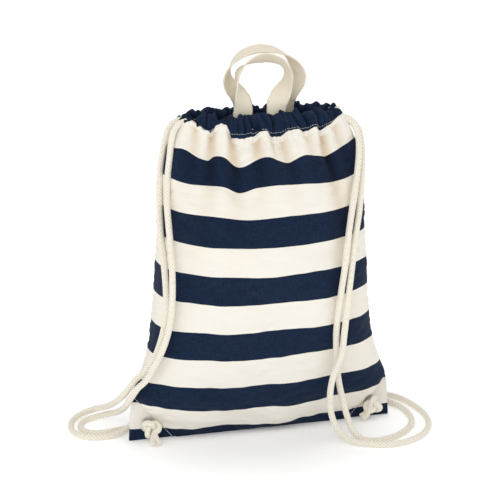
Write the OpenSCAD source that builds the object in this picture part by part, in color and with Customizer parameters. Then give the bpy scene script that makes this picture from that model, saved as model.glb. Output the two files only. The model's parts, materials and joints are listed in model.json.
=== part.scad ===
// Drawstring sack in striped cotton canvas: a gathered mouth with two drawcords,
// two webbing carry handles, and a reinforced, eyeletted corner on each side.
// The stuffed sack stands on its bottom seam. Front is -Y, right is +X.

/* [Canvas] */
// Width of the flat sack, side seam to side seam
flat_w = 350; // [335:1:365]
// Wall thickness of one canvas panel
canvas_t = 1.5; // [1.0:0.1:2.0]
// Thickness of a reinforced bottom corner: two panels and two patches
corner_t = 3.2; // [2.8:0.2:3.6]

/* [Handles] */
// Width of the handle webbing
webbing_w = 25; // [20:1:28]
// Thickness of the handle webbing
webbing_t = 2.4; // [1.8:0.2:2.8]
// Height of the back handle above its hinge line; the front one is 10 lower
handle_h = 72; // [68:1:76]
// Half the distance between the ends of the back handle; the front one's is 5.5 less
handle_half = 27; // [26:0.5:28]

/* [Cords] */
// Diameter of the drawcord
cord_d = 8; // [7:0.5:8]
// Distance from the eyelet to the side edge of the sack
eyelet_inset = 25; // [24:1:28]
// Height of the eyelet above the floor
eyelet_z = 20; // [19:1:22]
// Radius of the eyelet's hole
eyelet_r = 6; // [5.8:0.1:6.4]

/* [Hidden] */

navy = [0.07, 0.12, 0.24];
cream = [0.93, 0.90, 0.83];
cotton = [0.95, 0.92, 0.84];
thread = [0.85, 0.84, 0.80];
steel = [0.75, 0.75, 0.76];

seam_y = -4;          // plane of the side seams and of the flat corners
corner_leg = 60;      // height of the flat corner triangle
gap = 0.3;            // air between neighbouring pieces
roundness = 2.4;      // exponent of the superellipse of a level section
eyelet_x = flat_w / 2 - eyelet_inset;

// Level sections of the stuffed sack: [height, half width, front depth, back depth]
levels = [
    [0, 115, 9, 21], [12, 124.6, 17, 28], [30, 139, 31, 39], [60, 163, 46, 50],
    [85, 155, 54, 57], [115, 147, 62, 64], [150, 141, 70, 73], [190, 137, 77, 80],
    [228, 133, 82, 86], [265, 131, 84, 90], [300, 130, 81, 92], [335, 129, 73, 92],
    [360, 120, 60, 80], [380, 112, 46, 64], [390, 107, 38, 56]
];
panel_top = 390;
panel_columns = 36;

// The gathered channel: its lower and upper edge as [half width, front, back, height]
channel_low = [105, 36, 54, 394];
channel_high = [95, 14, 30, 412];
channel_side_rise = 4;   // how much higher the channel sits at the sides
channel_wall = 1.3;
channel_room = 5.2;      // half thickness of the space inside the channel
channel_over = 3;        // how far the channel's space passes its edges
channel_gap_deg = 12;    // angle left open beside each side seam for the cords

hinge_z = 420;           // height of the handles' hinge lines
hinge_y = [-11, 15];     // their places in the mouth, front and back
hinge_air = 1.8;         // the free loop begins this far above its hinge line
handle_x = [-4.5, 9.5];  // how far the gathers shift each handle sideways
handle_drift = [10, -3]; // how far right of its ends each handle's top stands
handle_tilt = [16, 0];   // how far behind its ends each handle's top stands
handle_flare = [12, 19]; // how far the legs spread before they meet
handle_top = [handle_h - 10, handle_h];
half_space = [handle_half - 5.5, handle_half];
leg_share = [0.24, 0.20]; // share of a handle's length in each leg
leg_height = [40, 37];   // height at which the legs run into the bend
// How far each webbing is turned, from its end to its top, as [share of its length, degrees]
handle_turns = [
    [[0, 0], [0.1, 36], [0.2, 76], [0.3, 84], [0.4, 66], [0.5, 52]],
    [[0, 0], [0.1, 26], [0.2, 50], [0.3, 76], [0.4, 97], [0.5, 104]]
];

// Where a handle's end runs inside the mouth, as [distance from the seam plane, height]
front_sewn_line = [[7, 420], [7, 406], [34, 385], [45, 372]];
back_sewn_line = [[19, 420], [19, 406], [45, 388], [60, 373]];
stitch_square = 16;      // side of the square of thread that holds a handle's end

// Routes of the cords' free strands, from the channel to the eyelet
left_front_route = [
    [-98, -10, 411], [-108, -13, 409], [-116, -17, 401], [-120, -20, 388], [-123, -24, 372],
    [-127, -29, 350], [-131, -38, 320], [-131, -46, 290], [-130, -52, 260], [-130, -57, 230],
    [-131, -60, 200], [-134, -60, 170], [-140, -55, 142], [-149, -46, 115], [-161, -38, 90],
    [-169, -32, 80], [-173, -22, 68], [-175, -5, 54], [-175, 18, 38], [-178, 46, 22],
    [-186, 69, 12], [-197, 80, 6], [-210, 79, 4], [-221, 67, 4], [-226, 49, 4], [-222, 33, 4],
    [-210, 25, 4], [-194, 25, 4], [-178, 29, 4], [-164, 28, 7], [-151, 19, 14], [-146, 4, 19]
];
left_back_route = [
    [-99, 3, 411], [-109, 2, 409], [-118, 0, 401], [-123, -2, 388], [-127, -4, 372],
    [-131, -7, 353], [-134, -12, 325], [-135, -18, 295], [-135, -24, 265], [-134, -33, 235],
    [-134, -41, 205], [-136, -46, 175], [-141, -43, 145], [-148, -34, 118], [-160, -25, 97],
    [-169, -18, 86], [-175, -8, 72], [-179, 9, 57], [-183, 33, 41], [-189, 62, 25], [-200, 87, 14],
    [-214, 94, 7], [-227, 85, 4], [-236, 64, 4], [-238, 38, 4], [-231, 19, 4], [-215, 10, 4],
    [-197, 10, 4], [-181, 14, 6], [-169, 16, 12], [-160, 12, 18], [-154, 4, 21]
];
right_front_route = [
    [99, -9, 402], [108, -12, 402], [116, -20, 397], [118, -33, 385], [114, -48, 367],
    [108, -60, 346], [101, -71, 322], [93, -80, 292], [87, -86, 262], [83, -89, 232],
    [79, -88, 202], [77, -83, 172], [77, -76, 142], [80, -69, 112], [84, -64, 82], [90, -62, 54],
    [95, -70, 28], [99, -84, 11], [109, -97, 4], [126, -104, 4], [148, -98, 4], [172, -80, 4],
    [190, -54, 4], [198, -18, 4], [195, 12, 4], [185, 32, 4], [170, 41, 5], [155, 36, 11],
    [147, 20, 16], [146, 4, 19]
];
right_back_route = [
    [100, 3, 402], [109, 2, 402], [118, -4, 399], [124, -17, 389], [123, -33, 372], [118, -49, 349],
    [113, -61, 325], [106, -73, 295], [99, -80, 265], [94, -85, 235], [90, -87, 205],
    [87, -87, 175], [85, -84, 145], [83, -80, 115], [74, -75, 85], [71, -72, 58], [73, -74, 32],
    [80, -85, 13], [92, -99, 5], [112, -114, 4], [136, -122, 4], [162, -117, 4], [188, -99, 4],
    [208, -68, 4], [217, -28, 4], [214, 14, 4], [205, 44, 4], [189, 60, 5], [172, 58, 13],
    [160, 41, 21], [155, 21, 23], [154, 4, 21]
];

// ---- helpers ----
function unit(v) = v / norm(v);
function column(k) = [for (row = levels) [row[0], row[k]]];
function half_width(z) = lookup(z, column(1));
function depth(z, side) = lookup(z, column(side < 0 ? 2 : 3));
function signed_pow(v, e) = sign(v) * pow(abs(v), e);

// A point of the sack's wall at height z; side is -1 for the front, 1 for the back
function wall_point(z, angle, side, inward) =
    let (e = z < corner_leg ? 1 - (1 - 2 / roundness) * z / corner_leg : 2 / roundness)
    [
        -(half_width(z) - inward) * signed_pow(cos(angle), e),
        seam_y + side * (depth(z, side) - inward) * pow(sin(angle), e),
        z
    ];

// Faces that close a grid of rows, each a closed loop of n points
function loop_faces(rows, n) = concat(
    [[for (k = [0 : n - 1]) k]],
    [
        for (r = [0 : rows - 2], k = [0 : n - 1], half = [0, 1])
            let (a = r * n + k, b = r * n + (k + 1) % n)
            half == 0 ? [a, a + n, b] : [b, a + n, b + n]
    ],
    [[for (k = [n - 1 : -1 : 0]) (rows - 1) * n + k]]
);

// Sweep of rings along a route: each ring is round and square to the route
module tube(route, d, sides = 8) {
    last = len(route) - 1;
    rings = [
        for (i = [0 : last])
            let (
                t = unit(route[min(i + 1, last)] - route[max(i - 1, 0)]),
                u = unit(cross(t, abs(t[2]) > 0.9 ? [0, 1, 0] : [0, 0, 1])),
                v = cross(t, u)
            )
            for (k = [0 : sides - 1])
                route[i] + d / 2 * (cos(360 * k / sides) * u + sin(360 * k / sides) * v)
    ];
    polyhedron(rings, loop_faces(last + 1, sides));
}

// ---- panels ----
module panel(side) {
    n = panel_columns;
    steps = [for (z = [0, 6, 12, 20, 30, 45, 60, 72, 85, 100]) z];
    upper = [for (k = [0 : 18]) 115 + k * (panel_top - 115) / 18];
    heights = concat(steps, upper);
    loops = [
        for (z = heights) each concat(
            [for (k = [0 : n]) wall_point(z, 180 * k / n, side, 0)],
            [for (k = [n : -1 : 0]) wall_point(z, 180 * k / n, side, canvas_t)]
        )
    ];
    width = 2 * (n + 1);
    strips = [
        for (r = [0 : len(heights) - 2], k = [0 : width - 1], half = [0, 1])
            let (a = r * width + k, b = r * width + (k + 1) % width)
            half == 0 ? [a, a + width, b] : [b, a + width, b + width]
    ];
    top = (len(heights) - 1) * width;
    caps = [
        for (k = [0 : n - 1], cap = [0, 1])
            let (a = (cap == 0 ? 0 : top) + k, c = (cap == 0 ? 0 : top) + width - 1 - k)
            cap == 0 ? [a, a + 1, c - 1, c] : [a, c, c - 1, a + 1]
    ];
    faces = concat(strips, caps);
    polyhedron(loops, side < 0 ? [for (f = faces) [for (k = [len(f) - 1 : -1 : 0]) f[k]]] : faces);
}

module bottom_seam() {
    color(navy)
        linear_extrude(2)
            polygon([
                for (k = [0 : 4 : 180]) seam_point(k, -1),
                for (k = [176 : -4 : 4]) seam_point(k, 1)
            ]);
}
function seam_point(angle, side) =
    let (p = wall_point(0, angle, side, canvas_t + gap / 4)) [p[0], p[1]];

// The seam allowance inside each side: a folded strip that follows the side edge
module side_seam(side) {
    heights = [62, 85, 115, 150, 190, 228, 265, 300, 335, 360, 380, 388];
    inner = canvas_t + 0.9;
    allowance = 8;
    loops = [
        for (z = heights) let (x = half_width(z) - inner) each [
            [side * x, seam_y - 0.7, z], [side * x, seam_y + 0.7, z],
            [side * (x - allowance), seam_y + 0.7, z], [side * (x - allowance), seam_y - 0.7, z]
        ]
    ];
    faces = loop_faces(len(heights), 4);
    color(navy)
        polyhedron(loops, side < 0 ? [for (f = faces) [for (k = [len(f) - 1 : -1 : 0]) f[k]]] : faces);
}

// ---- bottom corners ----
module corner_outline() {
    tip = flat_w / 2;
    near = half_width(0) + gap;
    far = half_width(corner_leg) + gap;
    polygon([
        [near, 0], [tip - 3, 0], [tip - 0.9, 0.9], [tip, 3], [tip - 1, 25],
        [far + 5, corner_leg + 2], [far + 1, corner_leg + 1]
    ]);
}

module corner(side) {
    color(cream)
        difference() {
            translate([0, seam_y + corner_t / 2, 0])
                rotate([90, 0, 0])
                    linear_extrude(corner_t)
                        scale_x(side) corner_outline();
            translate([side * eyelet_x, seam_y, eyelet_z])
                rotate([90, 0, 0])
                    cylinder(h = 3 * corner_t, r = eyelet_r + 0.7, center = true, $fn = 48);
        }
}
module scale_x(side) { if (side < 0) mirror([1, 0]) children(); else children(); }

// Two rows of thread that cross each flat corner, one on each face
module corner_stitching(side) {
    from = [half_width(0) + 4, 1.5];
    to = [half_width(corner_leg) + 2.5, corner_leg - 2];
    stitches = 14;
    color(thread)
        for (face = [-1, 1], k = [0 : stitches - 1]) {
            a = from + (to - from) * (k + 0.15) / stitches;
            b = from + (to - from) * (k + 0.85) / stitches;
            y = seam_y + face * (corner_t / 2 + 0.35);
            rod([side * a[0], y, a[1]], [side * b[0], y, b[1]], 0.35);
        }
}

module rod(a, b, r) {
    d = b - a;
    translate(a)
        rotate([0, acos(d[2] / norm(d)), atan2(d[1], d[0])])
            cylinder(h = norm(d), r = r, $fn = 16);
}

// ---- drawcord channel ----
function edge_point(edge, angle, side) = [
    -edge[0] * cos(angle),
    seam_y + side * edge[side < 0 ? 1 : 2] * sin(angle),
    edge[3] + channel_side_rise * pow(cos(angle), 2)
];
function channel_mid(angle, side) =
    (edge_point(channel_low, angle, side) + edge_point(channel_high, angle, side)) / 2;
function channel_up(angle, side) =
    unit(edge_point(channel_high, angle, side) - edge_point(channel_low, angle, side));
function channel_half(angle, side) =
    norm(edge_point(channel_high, angle, side) - edge_point(channel_low, angle, side)) / 2
    + channel_over;
function channel_out(angle, side) =
    unit(side * cross(channel_up(angle, side),
        channel_mid(angle + 1, side) - channel_mid(angle - 1, side)));

function channel_loop(angle, side, extra) = [
    for (k = [0 : 15])
        let (turn = 22.5 * k)
        channel_mid(angle, side)
        + (channel_half(angle, side) + extra) * cos(turn) * channel_up(angle, side)
        + (channel_room + extra) * sin(turn) * channel_out(angle, side)
];

module channel(side) {
    steps = 34;
    sides = 16;
    span = 180 - 2 * channel_gap_deg;
    angles = [for (k = [0 : steps]) channel_gap_deg + span * k / steps];
    points = concat(
        [for (a = angles) each channel_loop(a, side, channel_wall)],
        [for (a = angles) each channel_loop(a, side, 0)]
    );
    inner = len(angles) * sides;
    walls = [
        for (layer = [0, 1], r = [0 : steps - 1], k = [0 : sides - 1], half = [0, 1])
            let (
                a = layer * inner + r * sides + k,
                b = layer * inner + r * sides + (k + 1) % sides,
                f = half == 0 ? [a, a + sides, b] : [b, a + sides, b + sides]
            )
            layer == 0 ? f : [f[2], f[1], f[0]]
    ];
    ends = [
        for (k = [0 : sides - 1], far = [0, 1], half = [0, 1])
            let (
                base = far * steps * sides,
                a = base + k, b = base + (k + 1) % sides,
                f = half == 0 ? [a, b, inner + a] : [b, inner + b, inner + a]
            )
            far == 0 ? f : [f[2], f[1], f[0]]
    ];
    faces = concat(walls, ends);
    color(navy)
        polyhedron(points, side < 0 ? [for (f = faces) [f[2], f[1], f[0]]] : faces);
}

// The row of thread that closes the channel along its lower edge
module channel_stitching(side) {
    stitches = 40;
    span = 180 - 4 * channel_gap_deg;
    color(thread)
        for (k = [0 : stitches - 1]) {
            a = 2 * channel_gap_deg + span * (k + 0.15) / stitches;
            b = 2 * channel_gap_deg + span * (k + 0.85) / stitches;
            rod(stitch_point(a, side), stitch_point(b, side), 0.35);
        }
}
function stitch_point(angle, side) =
    channel_mid(angle, side)
    - 0.7 * channel_half(angle, side) * channel_up(angle, side)
    + (channel_room * 0.72 + channel_wall + 0.9) * channel_out(angle, side);

// ---- handles ----
function smooth(t) = t * t * (3 - 2 * t);
function which(side) = side < 0 ? 0 : 1;

// Centre line of a handle's free loop: two legs that flare, joined by a round bend
function handle_point(t, i) =
    let (
        share = leg_share[i],
        wide = half_space[i] + handle_flare[i],
        leg = min(t, 1 - t) / share,
        arc = 180 * (t - share) / (1 - 2 * share),
        x_side = t < 0.5 ? -1 : 1
    )
    leg < 1
        ? [
            x_side * (half_space[i] + handle_flare[i] * smooth(leg)), 0,
            hinge_air + (leg_height[i] - hinge_air) * leg
        ]
        : [-wide * cos(arc), 0, leg_height[i] + (handle_top[i] - leg_height[i]) * sin(arc)];

module handle(side) {
    i = which(side);
    steps = 40;
    loops = [
        for (k = [0 : steps])
            let (
                t = k / steps,
                p = handle_point(t, i),
                ahead = handle_point(min(t + 0.01, 1), i) - handle_point(max(t - 0.01, 0), i),
                q = k == 0 ? [0, 0, 1] : k == steps ? [0, 0, -1] : unit(ahead),
                a = lookup(min(t, 1 - t), handle_turns[i]),
                side_way = cos(a) * [q[2], 0, -q[0]] + sin(a) * [0, 1, 0],
                face_way = cross(q, side_way),
                high = p[2] / handle_top[i],
                at = p + [
                    handle_x[i] + handle_drift[i] * high,
                    hinge_y[i] + handle_tilt[i] * high * high,
                    hinge_z
                ]
            )
            each [
                at - webbing_w / 2 * side_way - webbing_t / 2 * face_way,
                at + webbing_w / 2 * side_way - webbing_t / 2 * face_way,
                at + webbing_w / 2 * side_way + webbing_t / 2 * face_way,
                at - webbing_w / 2 * side_way + webbing_t / 2 * face_way
            ]
    ];
    color(cotton) polyhedron(loops, loop_faces(steps + 1, 4));
}

// Where the ends of a handle are sewn, left and right
function end_places(side) = [
    for (end = [-1, 1]) handle_x[which(side)] + end * half_space[which(side)]
];

// The two ends of a handle below its hinge line: inside the channel, then on the panel.
// Each is rolled at the hinge line, where the free loop turns.
function sewn_line(side) = side < 0 ? front_sewn_line : back_sewn_line;
function line_shift(line, i) =
    let (d = unit(line[min(i + 1, len(line) - 1)] - line[max(i - 1, 0)])) [d[1], -d[0]];

module handle_ends(side) {
    line = sewn_line(side);
    last = len(line) - 1;
    outline = concat(
        [for (i = [0 : last]) line[i] + webbing_t / 2 * line_shift(line, i)],
        [for (i = [last : -1 : 0]) line[i] - webbing_t / 2 * line_shift(line, i)]
    );
    color(cotton)
        for (x = end_places(side))
            translate([x - webbing_w / 2, seam_y, 0])
                rotate([90, 0, 90]) {
                    linear_extrude(webbing_w)
                        scale_x(side) polygon(outline);
                    translate([side * line[0][0], line[0][1], 0])
                        cylinder(h = webbing_w, r = webbing_t / 2 + 0.1, $fn = 48);
                }
}

// A square of thread through each sewn end, on the webbing's inner face
module handle_stitching(side) {
    line = sewn_line(side);
    low = line[3];
    along = unit(line[2] - low);
    inward = [-along[1], along[0]];
    face = webbing_t / 2 + 0.7;
    half = stitch_square / 2;
    color(thread)
        for (x = end_places(side))
            for (pair = [[-1, -1, 1, -1], [-1, 1, 1, 1], [-1, -1, -1, 1], [1, -1, 1, 1]]) {
                a = low + (half + 1.5 + half * pair[1]) * along - face * inward;
                b = low + (half + 1.5 + half * pair[3]) * along - face * inward;
                from = [x + half * pair[0], seam_y + side * a[0], a[1]];
                to = [x + half * pair[2], seam_y + side * b[0], b[1]];
                rod(from + 0.07 * (to - from), to - 0.07 * (to - from), 0.4);
            }
}

// ---- eyelets ----
module eyelet_at(side) {
    translate([side * eyelet_x, seam_y, eyelet_z]) rotate([90, 0, 0]) children();
}

module eyelet(side) {
    front = corner_t / 2;
    color(steel)
        eyelet_at(side)
            rotate_extrude($fn = 64)
                polygon([
                    [eyelet_r, -front - 1.5], [eyelet_r + 0.6, -front - 1.5],
                    [eyelet_r + 0.6, front + 0.1], [10.4, front + 0.1], [10.6, front + 0.4],
                    [9, front + 0.9], [eyelet_r + 0.9, front + 1.0], [eyelet_r, front + 0.6]
                ]);
}

module eyelet_washer(side) {
    front = corner_t / 2;
    color(steel)
        eyelet_at(side)
            translate([0, 0, -front - 0.9])
                rotate_extrude($fn = 64)
                    translate([eyelet_r + 0.7, 0]) square([3.8, 0.8]);
}

// ---- cords ----
module in_channel(side) {
    first = 16;
    shift = side < 0 ? 5.2 : -5.2;
    front = [for (a = [first : 14.8 : 180 - first]) in_channel_point(a, -1, shift)];
    back = [for (a = [180 - first : -14.8 : first]) in_channel_point(a, 1, shift)];
    front_back = concat(front, [turn_point(shift, 1)], back);
    flipped = [for (p = front_back) [-p[0], p[1], p[2]]];
    color(cotton) tube(side < 0 ? front_back : flipped, cord_d);
}
function in_channel_point(angle, side, shift) =
    channel_mid(angle, side) + shift * channel_up(angle, side);
function turn_point(shift, x_side) =
    let (p = channel_mid(0, -1) + shift * channel_up(0, -1)) [x_side * abs(p[0]), seam_y + 3, p[2]];

module strand(route) { color(cotton) tube(route, cord_d); }

// Both strands pass the eyelet and are tied in one knot with two short tails
module knot(side) {
    ball_r = 11;
    centre = [side * eyelet_x, seam_y - 14, eyelet_z - 3];
    back_face = seam_y + 5;
    tail_r = cord_d / 2 - 0.5;
    tails = side < 0
        ? [[centre[0] + 2, centre[1] - 30, tail_r + 0.5], [centre[0] + 11, centre[1] - 26, tail_r + 0.5]]
        : [[centre[0] - 18, centre[1] - 14, tail_r + 2], [centre[0] - 14, centre[1] - 20, tail_r + 0.5]];
    color(cotton)
        union() {
            translate(centre) sphere(r = ball_r, $fn = 48);
            translate(centre + [0, -2, 0])
                rotate([90, 0, side * 25])
                    rotate_extrude($fn = 48) translate([8.4, 0]) circle(r = 4.1, $fn = 32);
            translate([side * eyelet_x, back_face, eyelet_z])
                rotate([90, 0, 0])
                    cylinder(h = back_face - centre[1], r = eyelet_r - gap, $fn = 48);
            for (end = tails) rod(centre + [0, -4, -3], end, tail_r);
        }
}

color(cream) panel(-1);  // front_panel
color(cream) panel(1);  // back_panel
bottom_seam();
side_seam(-1);  // left_side_seam
side_seam(1);  // right_side_seam
corner(-1);  // left_corner
corner(1);  // right_corner
corner_stitching(-1);  // left_corner_stitching
corner_stitching(1);  // right_corner_stitching
channel(-1);  // front_channel
channel(1);  // back_channel
channel_stitching(-1);  // front_channel_stitching
channel_stitching(1);  // back_channel_stitching
handle(-1);  // front_handle
handle(1);  // back_handle
handle_ends(-1);  // front_handle_ends
handle_ends(1);  // back_handle_ends
handle_stitching(-1);  // front_handle_stitching
handle_stitching(1);  // back_handle_stitching
eyelet(-1);  // left_eyelet
eyelet(1);  // right_eyelet
eyelet_washer(-1);  // left_eyelet_washer
eyelet_washer(1);  // right_eyelet_washer
strand(left_front_route);  // left_cord_front
strand(left_back_route);  // left_cord_back
strand(right_front_route);  // right_cord_front
strand(right_back_route);  // right_cord_back
in_channel(-1);  // left_cord_in_channel
in_channel(1);  // right_cord_in_channel
knot(-1);  // left_knot
knot(1);  // right_knot
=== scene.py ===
"""Looks of the striped drawstring sack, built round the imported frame.

All shapes are worked out in millimetres, in the row frame: front is -Y, right is +X.
"""
import json
import math

import bpy
import numpy as np
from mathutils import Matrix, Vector

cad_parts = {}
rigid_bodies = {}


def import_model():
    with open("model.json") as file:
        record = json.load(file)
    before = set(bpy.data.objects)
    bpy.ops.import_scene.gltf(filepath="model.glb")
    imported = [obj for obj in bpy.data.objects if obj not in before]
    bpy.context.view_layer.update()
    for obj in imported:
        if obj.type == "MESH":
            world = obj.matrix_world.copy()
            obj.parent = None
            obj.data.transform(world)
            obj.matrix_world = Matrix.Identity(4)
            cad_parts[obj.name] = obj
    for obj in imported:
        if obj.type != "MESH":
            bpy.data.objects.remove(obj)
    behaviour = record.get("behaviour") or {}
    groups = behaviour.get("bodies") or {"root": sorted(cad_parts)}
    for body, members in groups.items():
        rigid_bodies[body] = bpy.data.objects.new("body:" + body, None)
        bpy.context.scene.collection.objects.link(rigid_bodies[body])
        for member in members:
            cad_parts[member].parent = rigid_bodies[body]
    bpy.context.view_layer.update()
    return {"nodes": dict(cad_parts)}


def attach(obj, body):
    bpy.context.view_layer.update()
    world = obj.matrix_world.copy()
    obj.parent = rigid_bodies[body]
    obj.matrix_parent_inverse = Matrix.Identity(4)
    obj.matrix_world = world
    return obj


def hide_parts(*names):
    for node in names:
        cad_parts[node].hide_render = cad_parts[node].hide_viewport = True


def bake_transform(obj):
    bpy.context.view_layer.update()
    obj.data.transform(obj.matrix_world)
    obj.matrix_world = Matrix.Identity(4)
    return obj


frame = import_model()
cad_nodes = frame["nodes"]
MM = 0.001

# ---------------------------------------------------------------- facts
SEAM_Y = -4.0          # plane of the side seams and the flat corners
CORD_D = 8.0
WEBBING_W, WEBBING_T = 25.0, 2.4
HINGE_Z = 420.0
HINGE_Y = {-1: -11.0, 1: 15.0}
HINGE_AIR = 1.8        # the free loop of a handle begins this far above its hinge line
EYELET_X, EYELET_Z = 150.0, 20.0
CORNER_TOP = 62.0      # height at which the flat corner ends
CORNER_FOOT = 115.0    # half the width of the sack between its corners at the floor
HOLE_R = 6.3           # hole in the patches, round the eyelet's barrel
FLAT_HALF = 175.0      # half the width of the flat sack
STRIPE = 38.0          # width of one stripe
FIRST_STRIPE = 19.0    # the lowest navy stripe is half under the sack

# arc length up the cloth, half width, front depth, back depth, height, rise at the sides
PROFILE = np.array([
    [0, 175.0, 0, 0, 0.6, 0],
    [10, 174.8, 7, 9, 4, 2],
    [19, 174.2, 13, 15, 11, 5],
    [38, 172.8, 27, 30, 25, 9],
    [57, 171, 38, 41, 41, 11],
    [76, 166, 47, 49, 58, 9],
    [95, 159, 54, 56, 77, 6],
    [133, 147, 65, 67, 116, 3],
    [171, 141, 74, 77, 153, 3],
    [209, 137, 81, 84, 191, 3],
    [247, 134, 86, 90, 228, 4],
    [285, 131, 88, 94, 265, 5],
    [323, 130, 84, 97, 301, 8],
    [361, 128, 74, 96, 335, 12],
    [399, 119, 56, 80, 366, 16],
    [437, 105, 36, 56, 393, 18],
    [465, 96, 22, 40, 409, 9],
])
CLOTH_TOP = 444.0      # the canvas is shown up to here; the frill covers its edge
CLOTH_T = 0.8          # thickness of one canvas layer
HEM_LOW, HEM_TOP = 428.0, 462.0    # the frill begins and folds over at these arc lengths
CREASE_TOP = 437.0     # the creases are deepest here, just under the channel
CREASE_GAIN = 1.5
FLOOR_HALF = 9000.0

LEFT_FRONT = [
    (-98, -10, 411), (-108, -13, 409), (-116, -17, 401), (-120, -20, 388), (-123, -24, 372),
    (-127, -29, 350), (-131, -38, 320), (-131, -46, 290), (-130, -52, 260), (-130, -57, 230),
    (-131, -60, 200), (-134, -60, 170), (-140, -55, 142), (-149, -46, 115), (-161, -38, 90),
    (-169, -32, 80), (-173, -22, 68), (-175, -5, 54), (-175, 18, 38), (-178, 46, 22),
    (-186, 69, 12), (-197, 80, 6), (-210, 79, 4), (-221, 67, 4), (-226, 49, 4), (-222, 33, 4),
    (-210, 25, 4), (-194, 25, 4), (-178, 29, 4), (-164, 28, 7), (-151, 19, 14), (-146, 4, 19),
]
LEFT_BACK = [
    (-99, 3, 411), (-109, 2, 409), (-118, 0, 401), (-123, -2, 388), (-127, -4, 372),
    (-131, -7, 353), (-134, -12, 325), (-135, -18, 295), (-135, -24, 265), (-134, -33, 235),
    (-134, -41, 205), (-136, -46, 175), (-141, -43, 145), (-148, -34, 118), (-160, -25, 97),
    (-169, -18, 86), (-175, -8, 72), (-179, 9, 57), (-183, 33, 41), (-189, 62, 25),
    (-200, 87, 14), (-214, 94, 7), (-227, 85, 4), (-236, 64, 4), (-238, 38, 4), (-231, 19, 4),
    (-215, 10, 4), (-197, 10, 4), (-181, 14, 6), (-169, 16, 12), (-160, 12, 18), (-154, 4, 21),
]
RIGHT_FRONT = [
    (99, -9, 402), (108, -12, 402), (116, -20, 397), (118, -33, 385), (114, -48, 367),
    (108, -60, 346), (101, -71, 322), (93, -80, 292), (87, -86, 262), (83, -89, 232),
    (79, -88, 202), (77, -83, 172), (77, -76, 142), (80, -69, 112), (84, -64, 82), (90, -62, 54),
    (95, -70, 28), (99, -84, 11), (109, -97, 4), (126, -104, 4), (148, -98, 4), (172, -80, 4),
    (190, -54, 4), (198, -18, 4), (195, 12, 4), (185, 32, 4), (170, 41, 5), (155, 36, 11),
    (147, 20, 16), (146, 4, 19),
]
RIGHT_BACK = [
    (100, 3, 402), (109, 2, 402), (118, -4, 399), (124, -17, 389), (123, -33, 372),
    (118, -49, 349), (113, -61, 325), (106, -73, 295), (99, -80, 265), (94, -85, 235),
    (90, -87, 205), (87, -87, 175), (85, -84, 145), (83, -80, 115), (74, -75, 85), (71, -72, 58),
    (73, -74, 32), (80, -85, 13), (92, -99, 5), (112, -114, 4), (136, -122, 4), (162, -117, 4),
    (188, -99, 4), (208, -68, 4), (217, -28, 4), (214, 14, 4), (205, 44, 4), (189, 60, 5),
    (172, 58, 13), (160, 41, 21), (155, 21, 23), (154, 4, 21),
]

# Creases that run down from the front of the gathered mouth, as
# [x at the channel, x two stripes lower, depth, half width, length]
FRONT_CREASES = [
    (-90, -108, 4.0, 4.5, 50), (-71, -84, 5.5, 4.0, 70), (-49, -53, 6.5, 4.5, 60),
    (-18, -22, 6.0, 5.0, 48), (1, 1, 3.5, 3.5, 30), (14, 20, 5.0, 4.5, 45),
    (48, 55, 3.5, 5.0, 40), (67, 76, 6.0, 4.0, 110), (86, 101, 4.0, 4.5, 60),
]
BACK_CREASES = [
    (-88, -104, 4.5, 4.5, 60), (-66, -76, 5.5, 5.0, 55), (-38, -46, 5.0, 4.5, 70),
    (-14, -15, 4.0, 4.0, 40), (9, 12, 6.0, 5.0, 60), (31, 38, 4.5, 4.0, 45),
    (58, 68, 5.5, 4.5, 85), (84, 100, 4.5, 5.0, 55),
]
# How far the stripes are pulled up (+) or down (-) along the mouth, at three levels
FRONT_PULLS = {
    437: [(-105, 6), (-95, 8), (-73, 0), (-69, 7), (-51, 7), (-47, -3), (-20, -2),
          (-15, 3), (-2, 3), (2, -3.5), (12, -3.5), (30, 3), (48, -2), (65, -2),
          (69, -7), (78, -4), (95, 1), (105, 1)],
    399: [(-119, 3), (-112, 4), (-82, -3), (-75, 3.5), (-62, 3), (-44, -8), (-15, 4),
          (15, -5), (41, 2), (70, -4), (94, -1), (119, 0)],
    361: [(-128, 0), (-108, -1), (-67, 2), (-49, -4), (-27, 2), (22, 3), (73, -2),
          (96, -3), (128, 0)],
    323: [(-130, 0), (-80, 1), (-45, -1.5), (10, 1), (60, 0), (130, 0)],
    285: [(-131, 0), (131, 0)],
    0: [(-175, 0), (175, 0)],
}
BACK_PULLS = {
    437: [(-105, 2), (-90, -3), (-70, 4), (-52, -3), (-38, 3), (-20, -4), (0, 3),
          (18, -3), (34, 4), (58, -4), (75, 3), (90, -2), (105, 2)],
    399: [(-119, 1), (-90, -2), (-60, 3), (-36, -4), (0, 3), (30, -4), (62, 2), (119, 0)],
    361: [(-128, 0), (-50, 2), (-20, -2), (30, 2), (128, 0)],
    285: [(-131, 0), (131, 0)],
    0: [(-175, 0), (175, 0)],
}

SEWN_LINE = {
    -1: [(7, 420), (7, 406), (34, 385), (45, 372)],
    1: [(19, 420), (19, 406), (45, 388), (60, 373)],
}
# Each handle, front (-1) and back (1): half the space between its ends, how far its legs
# flare, its height and its legs' height, the legs' share of its length, how far it stands
# sideways, how far its top drifts to the right and tilts back
HANDLE = {
    -1: dict(half=21.5, flare=12.0, top=62.0, leg=40.0, share=0.24, x=-4.5, drift=10.0, tilt=16.0),
    1: dict(half=27.0, flare=19.0, top=72.0, leg=37.0, share=0.20, x=9.5, drift=-3.0, tilt=0.0),
}
# How far its webbing is turned, in degrees, from its end to its top
HANDLE_TURNS = {
    -1: [(0, 0), (0.1, 36), (0.2, 76), (0.3, 84), (0.4, 66), (0.5, 52)],
    1: [(0, 0), (0.1, 26), (0.2, 50), (0.3, 76), (0.4, 97), (0.5, 104)],
}
CHANNEL_LOW = (105.0, 36.0, 54.0, 394.0)
CHANNEL_HIGH = (95.0, 14.0, 30.0, 412.0)


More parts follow.
